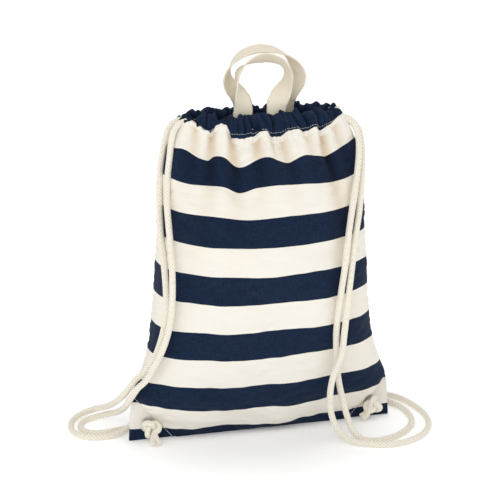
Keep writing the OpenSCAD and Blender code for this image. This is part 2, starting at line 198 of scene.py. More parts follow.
# ---------------------------------------------------------------- numbers
def hermite(xs, ys, x):
    """Smooth curve through points, with tangents from the neighbours."""
    xs, ys, x = np.asarray(xs, float), np.asarray(ys, float), np.asarray(x, float)
    slope = np.diff(ys) / np.diff(xs)
    tangent = np.concatenate([slope[:1], (slope[:-1] + slope[1:]) / 2, slope[-1:]])
    i = np.clip(np.searchsorted(xs, x) - 1, 0, len(xs) - 2)
    h = xs[i + 1] - xs[i]
    t = np.clip((x - xs[i]) / h, -0.5, 1.5)
    t2, t3 = t * t, t * t * t
    return ((2 * t3 - 3 * t2 + 1) * ys[i] + (t3 - 2 * t2 + t) * h * tangent[i]
            + (-2 * t3 + 3 * t2) * ys[i + 1] + (t3 - t2) * h * tangent[i + 1])


def smoothstep(x, low, high):
    t = np.clip((np.asarray(x, float) - low) / (high - low), 0, 1)
    return t * t * (3 - 2 * t)


def unit(v):
    return v / np.maximum(np.linalg.norm(v, axis=-1, keepdims=True), 1e-12)


def run_along(line):
    """Length along a line of points, at each of them."""
    return np.concatenate([[0], np.cumsum(np.linalg.norm(np.diff(line, axis=0), axis=1))])


def noise(u, v, size, seed, waves=14):
    """Smooth repeatable noise of about unit strength, from waves in all directions."""
    rng = np.random.default_rng(seed)
    total = np.zeros(np.broadcast(u, v).shape)
    for _ in range(waves):
        angle, phase = rng.uniform(0, 2 * np.pi, 2)
        k = 2 * np.pi / size * rng.uniform(0.55, 1.5)
        total += np.sin(k * (np.cos(angle) * u + np.sin(angle) * v) + phase)
    return total * math.sqrt(2 / waves)


def smooth_path(points, step):
    """Centripetal Catmull-Rom curve through the points, resampled at an even step."""
    p = np.asarray(points, float)
    p = np.vstack([2 * p[0] - p[1], p, 2 * p[-1] - p[-2]])
    fine = []
    for i in range(1, len(p) - 2):
        p0, p1, p2, p3 = p[i - 1:i + 3]
        t0 = 0.0
        t1 = t0 + max(np.linalg.norm(p1 - p0), 1e-6) ** 0.5
        t2 = t1 + max(np.linalg.norm(p2 - p1), 1e-6) ** 0.5
        t3 = t2 + max(np.linalg.norm(p3 - p2), 1e-6) ** 0.5
        t = np.linspace(t1, t2, 24, endpoint=False)[:, None]
        a1 = (t1 - t) / (t1 - t0) * p0 + (t - t0) / (t1 - t0) * p1
        a2 = (t2 - t) / (t2 - t1) * p1 + (t - t1) / (t2 - t1) * p2
        a3 = (t3 - t) / (t3 - t2) * p2 + (t - t2) / (t3 - t2) * p3
        b1 = (t2 - t) / (t2 - t0) * a1 + (t - t0) / (t2 - t0) * a2
        b2 = (t3 - t) / (t3 - t1) * a2 + (t - t1) / (t3 - t1) * a3
        fine.append((t2 - t) / (t2 - t1) * b1 + (t - t1) / (t2 - t1) * b2)
    fine = np.vstack(fine + [p[-2][None]])
    run = run_along(fine)
    count = max(2, int(round(run[-1] / step)) + 1)
    at = np.linspace(0, run[-1], count)
    return np.stack([np.interp(at, run, fine[:, k]) for k in range(3)], 1)


def carried_frames(path):
    """Tangent, normal and binormal along a path, carried without twist."""
    t = unit(np.gradient(path, axis=0))
    n = np.zeros_like(t)
    start = np.cross(t[0], [0.0, 0.0, 1.0] if abs(t[0][2]) < 0.9 else [0.0, 1.0, 0.0])
    n[0] = start / np.linalg.norm(start)
    for i in range(1, len(t)):
        v = n[i - 1] - t[i] * (n[i - 1] @ t[i])
        n[i] = v / max(np.linalg.norm(v), 1e-9)
    return t, n, np.cross(t, n)


# ---------------------------------------------------------------- meshes
def grid_faces(rows, cols, closed=False, flip=False):
    r, c = np.meshgrid(np.arange(rows - 1), np.arange(cols if closed else cols - 1),
                       indexing="ij")
    nxt = (c + 1) % cols
    quads = np.stack([r * cols + c, r * cols + nxt, (r + 1) * cols + nxt, (r + 1) * cols + c], -1)
    quads = quads.reshape(-1, 4)
    return quads[:, ::-1] if flip else quads


def piece(name, verts, faces, material, values=None, smooth=True):
    """A mesh object from points in millimetres, with float values kept on its points."""
    mesh = bpy.data.meshes.new(name)
    mesh.from_pydata((np.asarray(verts, float) * MM).tolist(), [],
                     [tuple(int(i) for i in f) for f in faces])
    mesh.update()
    mesh.polygons.foreach_set("use_smooth", np.full(len(mesh.polygons), smooth))
    for key, data in (values or {}).items():
        made = mesh.attributes.new(key, "FLOAT", "POINT")
        made.data.foreach_set("value", np.asarray(data, np.float32).ravel())
    mesh.materials.append(material)
    obj = bpy.data.objects.new(name, mesh)
    bpy.context.scene.collection.objects.link(obj)
    return obj


def stand_in(obj, body, slot, *nodes):
    """The piece rides on the body and replaces the CAD nodes; the slot is not used."""
    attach(obj, body)
    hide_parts(*nodes)


def thicken(obj, thickness):
    m = obj.modifiers.new("thickness", "SOLIDIFY")
    m.thickness, m.offset, m.use_even_offset = thickness * MM, 0.0, False
    apply_modifiers(obj)


def apply_modifiers(obj):
    bpy.context.view_layer.update()
    got = obj.evaluated_get(bpy.context.evaluated_depsgraph_get())
    mesh = bpy.data.meshes.new_from_object(got)
    obj.modifiers.clear()
    obj.data = mesh


def sweep(rings):
    """Points and faces of a capped tube whose ring i is rings[i], already placed."""
    rows, cols = rings.shape[:2]
    faces = [tuple(f) for f in grid_faces(rows, cols, True)]
    verts = np.vstack([rings.reshape(-1, 3), rings[0].mean(0), rings[-1].mean(0)])
    a, b = len(verts) - 2, len(verts) - 1
    for k in range(cols):
        faces.append((a, (k + 1) % cols, k))
        faces.append((b, (rows - 1) * cols + k, (rows - 1) * cols + (k + 1) % cols))
    return verts, faces


CARRIERS, RELIEF = 6, 0.32     # strands of the braid each way, and how far they stand out


def rope_shape(path, radius, around, soft_ends=0.0):
    """Rings of a braided rope along a path, and how deep each point lies in the braid."""
    _, n, b = carried_frames(path)
    run = run_along(path)
    angle = np.linspace(0, 2 * np.pi, around, endpoint=False)
    turn = 2 * np.pi / (4.2 * radius)
    one = CARRIERS * (angle[None, :] + turn / 1.6 * run[:, None]) / (2 * np.pi)
    two = CARRIERS * (angle[None, :] - turn / 1.6 * run[:, None]) / (2 * np.pi)
    parity = (np.floor(one) + np.floor(two)) % 2
    across = np.where(parity < 0.5, one % 1, two % 1)
    along = np.where(parity < 0.5, two % 1, one % 1)
    height = np.sin(np.pi * across) ** 0.6 * (0.55 + 0.45 * np.sin(np.pi * along))
    r = radius * (1 + 0.012 * noise(run[:, None], angle[None, :] * 0, 40, 5))
    if soft_ends:
        end = np.minimum(run, run[-1] - run)[:, None]
        r = r * np.sqrt(np.clip(1 - (1 - np.clip(end / soft_ends, 0, 1)) ** 2, 0.05, 1))
    r = r + RELIEF * (height - 0.7)
    rings = (path[:, None, :] + (r * np.cos(angle))[..., None] * n[:, None, :]
             + (r * np.sin(angle))[..., None] * b[:, None, :])
    return rings, height


def rope(name, points, radius, material, step=0.8, soft_ends=0.0):
    """A braided rope through the points, and the path that it follows."""
    path = smooth_path(points, step)
    rings, depth = rope_shape(path, radius, 30, soft_ends)
    verts, faces = sweep(rings)
    values = np.concatenate([depth.ravel(), [0.5, 0.5]])
    return piece(name, verts, faces, material, {"braid": values}), path


def join(name, parts):
    """One object from several meshes with the same material."""
    for o in bpy.context.scene.objects:
        o.select_set(False)
    for p in parts:
        p.select_set(True)
    bpy.context.view_layer.objects.active = parts[0]
    bpy.ops.object.join()
    parts[0].name = name
    for o in bpy.context.selected_objects:
        o.select_set(False)
    return parts[0]


def thread(name, runs, radius, material, stitch=2.6, gap=0.9):
    """Rows of stitches along runs of points: short rounded bars with gaps between."""
    verts, faces = [], []
    for line in runs:
        line = np.asarray(line, float)
        run = run_along(line)
        count = max(1, int(run[-1] // (stitch + gap)))
        pitch = run[-1] / count
        for k in range(count):
            at = np.linspace(k * pitch + gap / 2, (k + 1) * pitch - gap / 2, 5)
            centre = np.stack([np.interp(at, run, line[:, j]) for j in range(3)], 1)
            _, n, b = carried_frames(centre)
            size = radius * np.array([0.35, 0.9, 1.0, 0.9, 0.35])
            angle = np.linspace(0, 2 * np.pi, 8, endpoint=False)
            rings = (centre[:, None, :]
                     + (size[:, None] * np.cos(angle))[..., None] * n[:, None, :]
                     + (size[:, None] * np.sin(angle))[..., None] * b[:, None, :])
            v, f = sweep(rings)
            faces += [tuple(i + len(verts) for i in q) for q in f]
            verts += v.tolist()
    return piece(name, verts, faces, material)


# ---------------------------------------------------------------- materials
def new_material(name):
    m = bpy.data.materials.new(name)
    m.use_nodes = True
    tree = m.node_tree
    return m, tree, tree.nodes["Principled BSDF"]


def finish(tree, shader, roughness, specular, sheen, height, strength, distance):
    """How matt and downy a fabric is, and the relief of its yarns."""
    shader.inputs["Roughness"].default_value = roughness
    shader.inputs["Specular IOR Level"].default_value = specular
    shader.inputs["Sheen Weight"].default_value = sheen
    bump = node(tree, "ShaderNodeBump")
    bump.inputs["Strength"].default_value = strength
    bump.inputs["Distance"].default_value = distance
    tree.links.new(height, bump.inputs["Height"])
    tree.links.new(bump.outputs[0], shader.inputs["Normal"])


def node(tree, kind, **settings):
    made = tree.nodes.new(kind)
    for key, value in settings.items():
        if key.startswith("in_"):
            made.inputs[int(key[3:])].default_value = value
        else:
            setattr(made, key, value)
    return made


def plug(tree, socket, value):
    """Set a socket to a number or a colour, or link it."""
    if isinstance(value, (int, float)):
        socket.default_value = value
    elif isinstance(value, tuple):
        socket.default_value = (*value, 1)
    else:
        tree.links.new(value, socket)


def math_node(tree, operation, a, b=None, clamp=False):
    made = node(tree, "ShaderNodeMath", operation=operation, use_clamp=clamp)
    plug(tree, made.inputs[0], a)
    if b is not None:
        plug(tree, made.inputs[1], b)
    return made.outputs[0]


def value_of(tree, name):
    return node(tree, "ShaderNodeAttribute", attribute_name=name).outputs["Fac"]


def mix_colour(tree, factor, a, b):
    made = node(tree, "ShaderNodeMix", data_type="RGBA")
    for index, value in ((0, factor), (6, a), (7, b)):
        plug(tree, made.inputs[index], value)
    return made.outputs[2]


def fabric_noise(tree, vector, scale, detail=3.0):
    made = node(tree, "ShaderNodeTexNoise", in_2=scale, in_3=detail)
    tree.links.new(vector, made.inputs["Vector"])
    return made.outputs["Fac"]


def combine(tree, x, y, z=0.0):
    made = node(tree, "ShaderNodeCombineXYZ")
    for index, value in enumerate((x, y, z)):
        plug(tree, made.inputs[index], value)
    return made.outputs[0]


# the last of these colours is a painted shade: the dark navy put in the creases and fold valleys
NAVY, NAVY_LIGHT, NAVY_CREASE_SHADE = (0.002, 0.007, 0.025), (0.013, 0.031, 0.072), (0.001, 0.002, 0.007)
CREAM, CREAM_WARM = (0.885, 0.85, 0.775), (0.80, 0.74, 0.63)


def canvas(name):
    """Plain-weave canvas, with painted shade in its creases. The points carry where they lie on
    the flat cloth, in millimetres, and a crease value that sets the painted shade.
    """
    m, tree, shader = new_material(name)
    across, up = value_of(tree, "across"), value_of(tree, "up")
    # how deep in a crease or fold valley the point lies; it sets the painted shade below
    crease = value_of(tree, "crease")
    flat = combine(tree, across, up)
    # yarns: one wave each way, with their slubs
    warp = node(tree, "ShaderNodeTexNoise", in_2=1.0, in_3=2.0)
    tree.links.new(combine(tree, math_node(tree, "MULTIPLY", across, 1.25),
                           math_node(tree, "MULTIPLY", up, 0.09)), warp.inputs["Vector"])
    weft = node(tree, "ShaderNodeTexNoise", in_2=1.0, in_3=2.0)
    tree.links.new(combine(tree, math_node(tree, "MULTIPLY", across, 0.10),
                           math_node(tree, "MULTIPLY", up, 1.25), 7.0), weft.inputs["Vector"])
    yarn_a = math_node(tree, "SINE", math_node(tree, "MULTIPLY", across, 2 * math.pi / 0.9))
    yarn_b = math_node(tree, "SINE", math_node(tree, "MULTIPLY", up, 2 * math.pi / 0.9))
    weave = math_node(tree, "MULTIPLY", yarn_a, yarn_b)
    slub = math_node(tree, "ADD", warp.outputs["Fac"], weft.outputs["Fac"])
    slub = math_node(tree, "MULTIPLY", math_node(tree, "SUBTRACT", slub, 1.0), 2.2)
    mottled = math_node(tree, "ADD", math_node(tree, "MULTIPLY", weave, 0.16), slub)
    level = math_node(tree, "ADD", math_node(tree, "MULTIPLY", mottled, 0.5), 0.42, clamp=True)
    navy = mix_colour(tree, level, NAVY, NAVY_LIGHT)
    # painted shade: the navy is darkened in the creases and fold valleys, by the crease value
    navy = mix_colour(tree, math_node(tree, "MULTIPLY", crease, 0.8, clamp=True), navy, NAVY_CREASE_SHADE)
    cream_level = math_node(tree, "MULTIPLY", level, 0.22)
    cream = mix_colour(tree, cream_level, CREAM, CREAM_WARM)
    # painted shade: the cream turns tan in the creases, by the crease value
    cream = mix_colour(tree, math_node(tree, "MULTIPLY", crease, 0.75, clamp=True),
                       cream, (0.66, 0.52, 0.34))
    fray = math_node(tree, "MULTIPLY", math_node(
        tree, "SUBTRACT", fabric_noise(tree, flat, 1.6), 0.5), 0.9)
    place = math_node(tree, "ADD", math_node(tree, "SUBTRACT", up, FIRST_STRIPE), fray)
    share = math_node(tree, "FRACT", math_node(tree, "DIVIDE", place, 2 * STRIPE))
    is_navy = math_node(tree, "GREATER_THAN", share, 0.5)
    tree.links.new(mix_colour(tree, is_navy, cream, navy), shader.inputs["Base Color"])
    shader.inputs["Sheen Roughness"].default_value = 0.5
    finish(tree, shader, 0.9, 0.15, 0.03, mottled, 0.35, 0.0004)
    return m


def cord_material():
    m, tree, shader = new_material("braided_cotton")
    braid = value_of(tree, "braid")
    where = node(tree, "ShaderNodeNewGeometry").outputs["Position"]
    fuzz = fabric_noise(tree, where, 900.0, 2.0)
    patch = fabric_noise(tree, where, 60.0, 2.0)
    # light is the cotton's own colour, with random patches; deep is a painted shade for the
    # grooves between the strands, with random tone
    light = mix_colour(tree, patch, (0.87, 0.825, 0.71), (0.94, 0.905, 0.81))
    deep = mix_colour(tree, fuzz, (0.56, 0.48, 0.34), (0.68, 0.60, 0.46))
    # painted shade: the colour darkens from the raised strands into the grooves, by the braid
    # value
    level = math_node(tree, "MULTIPLY", math_node(tree, "SUBTRACT", braid, 0.12), 1.7, clamp=True)
    tree.links.new(mix_colour(tree, level, deep, light), shader.inputs["Base Color"])
    height = math_node(tree, "ADD", fuzz, math_node(tree, "MULTIPLY", braid, 0.8))
    finish(tree, shader, 0.85, 0.25, 0.2, height, 0.5, 0.0004)
    return m


def webbing_material():
    """Cotton webbing: short floats in rows, set by the points' places on the strap."""
    m, tree, shader = new_material("cotton_webbing")
    across, up = value_of(tree, "across"), value_of(tree, "up")
    rib = math_node(tree, "SINE", math_node(tree, "MULTIPLY", across, 2 * math.pi / 1.6))
    zig = math_node(tree, "PINGPONG", across, 3.2)
    pick = math_node(tree, "SINE", math_node(tree, "MULTIPLY", math_node(
        tree, "ADD", up, math_node(tree, "MULTIPLY", zig, 0.45)), 2 * math.pi / 1.5))
    weave = math_node(tree, "MULTIPLY", rib, pick)
    flat = combine(tree, across, up)
    slub = fabric_noise(tree, flat, 1.1, 3.0)
    level = math_node(tree, "ADD", math_node(tree, "MULTIPLY", weave, 0.22),
                      math_node(tree, "SUBTRACT", math_node(tree, "MULTIPLY", slub, 1.3), 0.15),
                      clamp=True)
    colour = mix_colour(tree, level, (0.86, 0.745, 0.545), (1.0, 0.95, 0.825))
    tree.links.new(colour, shader.inputs["Base Color"])
    finish(tree, shader, 0.88, 0.25, 0.15, math_node(tree, "ADD", weave, slub), 0.6, 0.0005)
    return m


def thread_material(name, colour, dark):
    m, tree, shader = new_material(name)
    where = node(tree, "ShaderNodeNewGeometry").outputs["Position"]
    tree.links.new(mix_colour(tree, fabric_noise(tree, where, 1500.0), dark, colour),
                   shader.inputs["Base Color"])
    shader.inputs["Roughness"].default_value = 0.6
    return m


def metal_material():
    m, tree, shader = new_material("nickel_plate")
    where = node(tree, "ShaderNodeNewGeometry").outputs["Position"]
    scuff = fabric_noise(tree, where, 700.0, 4.0)
    tree.links.new(mix_colour(tree, scuff, (0.55, 0.54, 0.52), (0.78, 0.77, 0.75)),
                   shader.inputs["Base Color"])
    shader.inputs["Metallic"].default_value = 1.0
    rough = node(tree, "ShaderNodeMapRange")
    rough.inputs["To Min"].default_value, rough.inputs["To Max"].default_value = 0.22, 0.42
    tree.links.new(scuff, rough.inputs["Value"])
    tree.links.new(rough.outputs[0], shader.inputs["Roughness"])
    return m


CANVAS = canvas("striped_canvas")
ROPE = cord_material()
WEBBING = webbing_material()
THREAD = thread_material("white_thread", (0.86, 0.86, 0.84), (0.66, 0.66, 0.64))
THREAD_CREAM = thread_material("cream_thread", (0.84, 0.80, 0.71), (0.74, 0.69, 0.58))
METAL = metal_material()


# ---------------------------------------------------------------- cloth of the sack
def profile(s, column):
    return hermite(PROFILE[:, 0], PROFILE[:, column], s)


def section(s, side, samples=360):
    """One level of the cloth: points from the left edge to the right edge, seam plane at 0."""
    a, depth = float(profile(s, 1)), float(profile(s, 2 if side < 0 else 3))
    z, rise = float(profile(s, 4)), float(profile(s, 5))
    edge_z = z + rise
    share = min(edge_z / CORNER_TOP, 1.0)
    inner = CORNER_FOOT + (a - CORNER_FOOT) * share
    power = 2.0 + 0.4 * share
    angle = np.linspace(0, np.pi, samples)
    x = -inner * np.sign(np.cos(angle)) * np.abs(np.cos(angle)) ** (2 / power)
    y = side * max(depth, 0.0) * np.sin(angle) ** (2 / power)
    if inner < a - 0.5:
        out = np.linspace(a, inner, 24, endpoint=False)
        x = np.concatenate([-out, x, out[::-1]])
        y = np.concatenate([np.zeros(24), y, np.zeros(24)])
    run = np.concatenate([[0], np.cumsum(np.hypot(np.diff(x), np.diff(y)))])
    lift = rise * (x / a) ** 2
    return x, y, z + lift, run


def base_cloth(side, columns, levels):
    """Smooth surface of one panel."""
    share = np.linspace(0, 1, columns)
    points = np.zeros((len(levels), columns, 3))
    for i, s in enumerate(levels):
        x, y, z, run = section(s, side)
        at = share * run[-1]
        points[i, :, 0] = np.interp(at, run, x)
        points[i, :, 1] = SEAM_Y + np.interp(at, run, y)
        points[i, :, 2] = np.interp(at, run, z)
    # the two layers part a little: by the patches at the corners, by the seam above them
    parting = 1.2 - 0.8 * smoothstep(points[:, :, 2], 50, 75)
    points[:, :, 1] += side * parting
    return points


def surface_normals(p, side):
    du = np.gradient(p, axis=1)
    dv = np.gradient(p, axis=0)
    n = unit(np.cross(du, dv))
    return n if side < 0 else -n


def pulls(table, x, s):
    """How far the gathers pull the stripes up or down at x and s."""
    levels = sorted(table)
    rows = np.stack([hermite(*zip(*table[k]), x) for k in levels])
    i = np.clip(np.searchsorted(levels, s) - 1, 0, len(levels) - 2)
    low, high = np.array(levels, float)[i], np.array(levels, float)[i + 1]
    t = np.clip((s - low) / (high - low), 0, 1)
    t = t * t * (3 - 2 * t)
    take = np.take_along_axis
    return (take(rows, i[None], 0)[0] * (1 - t) + take(rows, (i + 1)[None], 0)[0] * t)


def crease_depth(creases, x, s):
    """Depth of the creases that fan down from the mouth (>0 is inward)."""
    down = np.maximum(CREASE_TOP - s, 0)
    total = np.zeros_like(x)
    for top, low, depth, half, length in creases:
        centre = top + (low - top) * down / (2 * STRIPE)
        wide = half * (1 + down / 55)
        total += (CREASE_GAIN * depth * np.exp(-down / length)
                  * np.exp(-((x - centre) / wide) ** 2))
    return total


def cloth_points(side, columns, levels):
    """One panel with its folds, and the flat place and crease depth of each point."""
    creases = FRONT_CREASES if side < 0 else BACK_CREASES
    table = FRONT_PULLS if side < 0 else BACK_PULLS
    p = base_cloth(side, columns, levels)
    n = surface_normals(p, side)
    s = np.repeat(np.asarray(levels)[:, None], columns, 1)
    u = np.repeat(np.linspace(-FLAT_HALF, FLAT_HALF, columns)[None], len(levels), 0)
    x = p[:, :, 0].copy()
    width = np.abs(x).max(1, keepdims=True)
    edge = width - np.abs(x)                       # distance from the side seam
    inside = smoothstep(edge, 0, 14)
    deep = crease_depth(creases, x, s)
    ridge = deep - deep.mean(1, keepdims=True) * 1.1
    fine = noise(u, s * 0.12, 11, 40 + side) * np.exp(-np.maximum(CREASE_TOP - s, 0) / 13)
    soft = (1.5 * noise(u, s, 150, 11 + side) + 0.9 * noise(u, s * 1.5, 62, 23 + side))
    soft += 0.35 * noise(u * 0.8, s * 2.0, 24, 31 + side)
    corner_line = CORNER_FOOT + (171 - CORNER_FOOT) * p[:, :, 2] / CORNER_TOP
    on_flap = (np.abs(x) > corner_line) & (p[:, :, 2] < CORNER_TOP)
    calm = np.where(on_flap, 0.15, 1.0)
    # small puckers along the side seams and along the corners' stitched line
    pucker = 0.55 * noise(u * 0.3, s, 9, 51 + side) * np.exp(-(edge / 9) ** 2)
    pucker *= smoothstep(s, 60, 90) * smoothstep(edge, 0, 3)
    near_line = np.exp(-((np.abs(x) - corner_line) / 7) ** 2) * (p[:, :, 2] < 66)
    pucker += 0.5 * noise(x * 0.6, s * 1.1, 8, 61 + side) * near_line * (~on_flap)
    floor_calm = smoothstep(p[:, :, 2], 0, 12)
    out = -ridge * inside + 1.3 * fine * inside + soft * inside * calm + pucker
    p = p + n * (out * floor_calm)[..., None]
    lift = pulls(table, x, s) * inside
    p[:, :, 2] += lift
    p[:, :, 2] = np.maximum(p[:, :, 2], 0.5)
    # never through the seam plane to the other side
    y = (p[:, :, 1] - SEAM_Y) * side
    p[:, :, 1] = SEAM_Y + side * np.maximum(y, 0.4)
    # the last value, crease depth clipped to 0..1, sets the painted shade in the canvas's creases
    return p, u, s, np.clip(deep / 6.0, 0, 1)


def cloth_levels():
    return np.concatenate([np.linspace(0, 60, 44, endpoint=False),
                           np.linspace(60, 330, 110, endpoint=False),
                           np.linspace(330, CLOTH_TOP, 90)])


def flat_cloth(name, side):
    columns = 211
    levels = cloth_levels()
    p, u, s, deep = cloth_points(side, columns, levels)
    quads = grid_faces(len(levels), columns, flip=side > 0)
    centre = p.reshape(-1, 3)[quads].mean(1)
    hole = np.hypot(np.abs(centre[:, 0]) - EYELET_X, centre[:, 2] - EYELET_Z) < HOLE_R + 0.1
    obj = piece(name, p.reshape(-1, 3), quads[~hole], CANVAS,
                {"across": u, "up": s, "crease": deep})
    thicken(obj, CLOTH_T)
    return obj, p


front_cloth, front_points = flat_cloth("front_cloth", -1)
back_cloth, back_points = flat_cloth("back_cloth", 1)


def on_cloth(grid, side, u, s, lift=0.75):
    """Points on the panel at the flat place (u, s), lifted off its outer face."""
    columns = grid.shape[1]
    levels = cloth_levels()
    n = surface_normals(grid, side)
    ci = (np.asarray(u, float) + FLAT_HALF) / (2 * FLAT_HALF) * (columns - 1)
    ci = np.clip(ci, 0, columns - 1.001)
    ri = np.clip(np.interp(s, levels, np.arange(len(levels))), 0, len(levels) - 1.001)
    c0, r0 = ci.astype(int), ri.astype(int)
    fc, fr = (ci - c0)[:, None], (ri - r0)[:, None]

    def pick(g):
        return ((g[r0, c0] * (1 - fc) + g[r0, c0 + 1] * fc) * (1 - fr)
                + (g[r0 + 1, c0] * (1 - fc) + g[r0 + 1, c0 + 1] * fc) * fr)
    return pick(grid) + lift * unit(pick(n))


# ---------------------------------------------------------------- gathered channel
def edge_curve(edge, angle, side):
    """One edge of the channel; edge is half width, front depth, back depth, height."""
    return np.stack([-edge[0] * np.cos(angle),
                     SEAM_Y + side * edge[1 if side < 0 else 2] * np.sin(angle),
                     edge[3] + 4.0 * np.cos(angle) ** 2], -1)


def channel_frame(angle, side):
    """The channel at an angle round the neck: middle, up, outward, along, half height."""
    low, high = edge_curve(CHANNEL_LOW, angle, side), edge_curve(CHANNEL_HIGH, angle, side)
    mid, up = (low + high) / 2, unit(high - low)
    ahead, behind = (edge_curve(CHANNEL_LOW, at, side) + edge_curve(CHANNEL_HIGH, at, side)
                     for at in (angle + 0.02, angle - 0.02))
    along = unit(ahead - behind)
    out = unit(side * np.cross(up, along))
    return mid, up, out, along, np.linalg.norm(high - low, axis=-1) / 2


def ruffle_points(side, grid, along_count, around):
    """The gathered hem: a soft tube round the cords, bunched into tight folds."""
    fine = np.radians(np.linspace(4, 176, 1200))
    mid = channel_frame(fine, side)[0]
    run = run_along(mid)
    at = np.linspace(0, run[-1], along_count)
    angle = np.interp(at, run, fine)
    mid, up, out, along, half = channel_frame(angle, side)
    tau = np.linspace(0, 2 * np.pi, around, endpoint=False)   # 0 is the rim, pi the lower edge
    t, k = np.meshgrid(at, tau, indexing="ij")
    seed = 70 + side
    warped = t + 3.4 * noise(t, t * 0, 34, seed) + 1.2 * noise(t, t * 0, 15, seed + 1)
    face = np.sin(k)                                          # 1 is the outer face
    slant = 2.4 * noise(t, t * 0, 55, seed + 2) * np.cos(k) + 1.2 * np.sin(2 * k + t / 13)
    pitch = 11.5
    phase = np.pi * (warped + slant) / pitch
    fold = np.abs(np.cos(phase)) ** 0.75                      # round tops, sharp valleys
    second = np.abs(np.cos(phase * 1.63 + 0.9 + 0.5 * np.cos(k))) ** 0.8
    strength = 1 + 0.35 * noise(t, np.cos(k) * 8, 30, seed + 3)
    push = (5.4 * (fold - 0.62) + 2.3 * (second - 0.6)) * strength
    push = np.maximum(push * (0.62 + 0.38 * np.clip(face, -0.3, 1)), -3.0)
    ends = smoothstep(at, 0, 26) * smoothstep(run[-1] - at, 0, 26)
    tall = (half + 2.6) * (0.62 + 0.38 * ends)
    thick = 7.0 * (0.72 + 0.28 * ends)
    push *= (0.55 + 0.45 * ends)[:, None]
    cos_k, sin_k = np.cos(k), np.sin(k)
    shape_c = np.sign(cos_k) * np.abs(cos_k) ** 0.85
    shape_s = np.sign(sin_k) * np.abs(sin_k) ** 0.85
    p = (mid[:, None] + (tall[:, None] * shape_c)[..., None] * up[:, None]
         + (thick[:, None] * shape_s)[..., None] * out[:, None])
    radial = unit((cos_k / 1.9)[..., None] * up[:, None] + sin_k[..., None] * out[:, None])
    p = p + push[..., None] * radial
    sway = 1.5 * np.sin(2 * phase) * (0.5 + 0.5 * np.clip(face, 0, 1))
    p = p + sway[..., None] * along[:, None]
    p[..., 2] += 1.9 * noise(t, t * 0, 15, seed + 4) * smoothstep(np.cos(k), 0.1, 1)
    # where each point lies on the flat hem: up the outer face, over the rim, down inside
    from_edge = np.abs(k - np.pi) / np.pi
    up_cloth = HEM_LOW + (HEM_TOP - HEM_LOW) * from_edge
    places = np.linspace(-FLAT_HALF, FLAT_HALF, 701)
    row = np.maximum.accumulate(
        on_cloth(grid, side, places, np.full(len(places), 436.0), 0)[:, 0])
    across = np.interp(mid[:, 0] * 1.05, row, places)[:, None] + 0 * k
    # the lower part lies on the panel that the hem is turned from
    held = np.where(k <= np.pi, 1 - smoothstep(from_edge, 0.16, 0.50),
                    1 - smoothstep(from_edge, 0.0, 0.25))
    lift = np.where(k <= np.pi, 0.9, -0.9) * smoothstep(from_edge, 0, 0.12)
    flat_s = np.clip(up_cloth, HEM_LOW, CLOTH_TOP - 1).ravel()
    on = on_cloth(grid, side, across.ravel(), flat_s, lift.ravel()[:, None]).reshape(p.shape)
    p = p * (1 - held[..., None]) + on * held[..., None]
    # painted shade: the frill's fold valleys, where it is not held to the cloth, get a crease
    # value that darkens its colour
    valley = np.clip(1.1 - fold * 1.3, 0, 1) * (1 - held)
    return p, across, up_cloth, valley


def ruffle(name, side, grid):
    along_count, around = ((360, 60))
    p, across, up, valley = ruffle_points(side, grid, along_count, around)
    verts, faces = sweep(p)
    if side > 0:
        faces = [tuple(reversed(f)) for f in faces]
    pad = [0.0, 0.0]
    obj = piece(name, verts, faces, CANVAS, {
        "across": np.concatenate([across.ravel(), pad]),
        "up": np.concatenate([up.ravel(), [450, 450]]),
        "crease": np.concatenate([valley.ravel(), pad])})
    return obj, p


front_ruffle, front_ruffle_points = ruffle("front_ruffle", -1, front_points)
back_ruffle, back_ruffle_points = ruffle("back_ruffle", 1, back_points)


# ---------------------------------------------------------------- stitching on the cloth
def corner_runs(side_x):
    """The diagonal row of thread on the front and back of a flat corner."""
    runs = []
    for side, grid in ((-1, front_points), (1, back_points)):
        z = np.linspace(1.5, CORNER_TOP - 2, 30)
        x = CORNER_FOOT + 3.0 + (169 - CORNER_FOOT) * z / CORNER_TOP
        runs.append(np.stack([side_x * x, np.full(30, SEAM_Y + side * 1.95), z], 1))
    return runs


for label, side_x in (("left", -1), ("right", 1)):
    stitches = thread(f"{label}_corner_thread", corner_runs(side_x), 0.42, THREAD)
    stand_in(stitches, "sack", "thread", f"{label}_corner_stitching")


def channel_run(p):
    """The row of stitches that closes the channel, following its folds."""
    k = int(0.69 * p.shape[1] / 2)                 # the channel's lower edge, on its outer face
    line, centre = p[8:-8, k], p[8:-8].mean(1)
    return line + 0.25 * unit(line - centre)


for label, p in (("front", front_ruffle_points), ("back", back_ruffle_points)):
    stitches = thread(f"{label}_channel_thread", [channel_run(p)], 0.22, THREAD)
    stand_in(stitches, "sack", "thread", f"{label}_channel_stitching")


# ---------------------------------------------------------------- handles
def handle_point(t, half, flare, top, leg, share, **_):
    """Centre line of a handle's free loop: two legs that flare, joined by a round bend."""
    low = np.minimum(t, 1 - t) / share
    arc = np.pi * (t - share) / (1 - 2 * share)
    eased = smoothstep(low, 0, 1)
    x = np.where(low < 1, np.where(t < 0.5, -1, 1) * (half + flare * eased),
                 -(half + flare) * np.cos(arc))
    z = np.where(low < 1, HINGE_AIR + (leg - HINGE_AIR) * low, leg + (top - leg) * np.sin(arc))
    return np.stack([x, np.zeros_like(t), z], -1)


